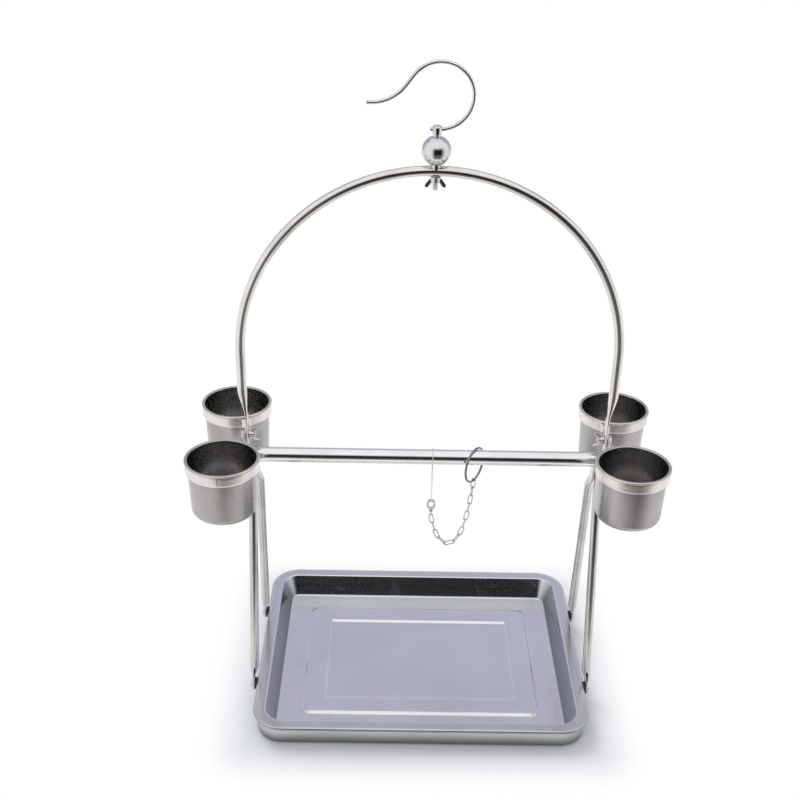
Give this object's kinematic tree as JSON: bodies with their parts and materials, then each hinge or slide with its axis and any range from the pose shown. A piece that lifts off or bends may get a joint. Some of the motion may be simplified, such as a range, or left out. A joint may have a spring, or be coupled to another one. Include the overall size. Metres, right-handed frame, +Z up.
{
  "type": "bird perch stand",
  "caption": "Table-top perch for a pet bird: steel bar on splayed legs over a tray, bow with hook above, clamped bands with lift-out cups, and a chain leash",
  "frame": {"origin": "on the table, under the middle of the tray", "axes": "X along the bar, Y to the back, Z up"},
  "size_m": [0.4045, 0.234, 0.5692],
  "materials": {
    "tray_steel": "bright rolled steel",
    "tube_steel": "polished",
    "band_steel": "polished strip",
    "cup_steel": "satin steel",
    "bright_steel": "polished",
    "black_plastic": "moulded",
    "dark_steel": "dark steel wire",
    "chain_steel": "steel wire"
  },
  "bodies": {
    "stand": {"tray": "tray_steel", "tray_screws": "bright_steel", "tray_nuts": "bright_steel", "tray_bushes": "black_plastic", "leg_front_left": "tube_steel", "leg_front_right": "tube_steel", "leg_back_left": "tube_steel", "leg_back_right": "tube_steel", "perch_tube": "tube_steel", "perch_plug_left": "bright_steel", "perch_plug_right": "bright_steel", "perch_screws": "bright_steel", "perch_spacers": "bright_steel", "arch_tube": "tube_steel", "band_bolts": "bright_steel", "ball": "bright_steel", "ball_saddle": "bright_steel"},
    "band_left": {"cup_band_left": "band_steel"},
    "cup_front_left": {"cup_front_left": "cup_steel"},
    "cup_back_left": {"cup_back_left": "cup_steel"},
    "nut_left": {"wing_nut_left": "bright_steel"},
    "band_right": {"cup_band_right": "band_steel"},
    "cup_front_right": {"cup_front_right": "cup_steel"},
    "cup_back_right": {"cup_back_right": "cup_steel"},
    "nut_right": {"wing_nut_right": "bright_steel"},
    "hook": {"hook_stud": "bright_steel", "hook": "bright_steel"},
    "top_nut": {"top_wing_nut": "bright_steel"},
    "leash": {"leash_ring": "dark_steel", "chain_link_01": "chain_steel", "chain_link_02": "chain_steel", "chain_link_03": "chain_steel", "chain_link_04": "chain_steel", "chain_link_05": "chain_steel", "chain_link_06": "chain_steel", "chain_link_07": "chain_steel", "chain_link_08": "chain_steel", "chain_link_09": "chain_steel", "chain_link_10": "chain_steel", "chain_link_11": "chain_steel", "chain_link_12": "chain_steel", "chain_link_13": "chain_steel", "leash_jump_ring": "chain_steel", "leash_clasp": "chain_steel", "leash_loop": "chain_steel"}
  },
  "joints": [
    {"name": "band_left_tilt", "type": "hinge", "parent": "stand", "child": "band_left", "pos_m": [-0.1577, 0, 0.2482], "axis": [1, 0, 0], "range_deg": [-10, 10]},
    {"name": "cup_front_left_lift", "type": "slide", "parent": "band_left", "child": "cup_front_left", "axis": [0, 0, 1], "range_m": [0, 0.06]},
    {"name": "cup_back_left_lift", "type": "slide", "parent": "band_left", "child": "cup_back_left", "axis": [0, 0, 1], "range_m": [0, 0.06]},
    {"name": "wing_nut_left_turn", "type": "hinge", "parent": "stand", "child": "nut_left", "pos_m": [-0.1525, 0, 0.2482], "axis": [1, 0, 0], "continuous": true},
    {"name": "band_right_tilt", "type": "hinge", "parent": "stand", "child": "band_right", "pos_m": [0.1577, 0, 0.2482], "axis": [1, 0, 0], "range_deg": [-10, 10]},
    {"name": "cup_front_right_lift", "type": "slide", "parent": "band_right", "child": "cup_front_right", "axis": [0, 0, 1], "range_m": [0, 0.06]},
    {"name": "cup_back_right_lift", "type": "slide", "parent": "band_right", "child": "cup_back_right", "axis": [0, 0, 1], "range_m": [0, 0.06]},
    {"name": "wing_nut_right_turn", "type": "hinge", "parent": "stand", "child": "nut_right", "pos_m": [0.1525, 0, 0.2482], "axis": [1, 0, 0], "continuous": true},
    {"name": "hook_swivel", "type": "hinge", "parent": "stand", "child": "hook", "pos_m": [0, 0, 0.5], "axis": [0, 0, 1], "continuous": true},
    {"name": "top_wing_nut_turn", "type": "hinge", "parent": "hook", "child": "top_nut", "pos_m": [0, 0, 0.477], "axis": [0, 0, 1], "continuous": true},
    {"name": "leash_swing", "type": "hinge", "parent": "stand", "child": "leash", "pos_m": [0.043, 0, 0.2284], "axis": [1, 0, 0], "range_deg": [-60, 60]}
  ]
}
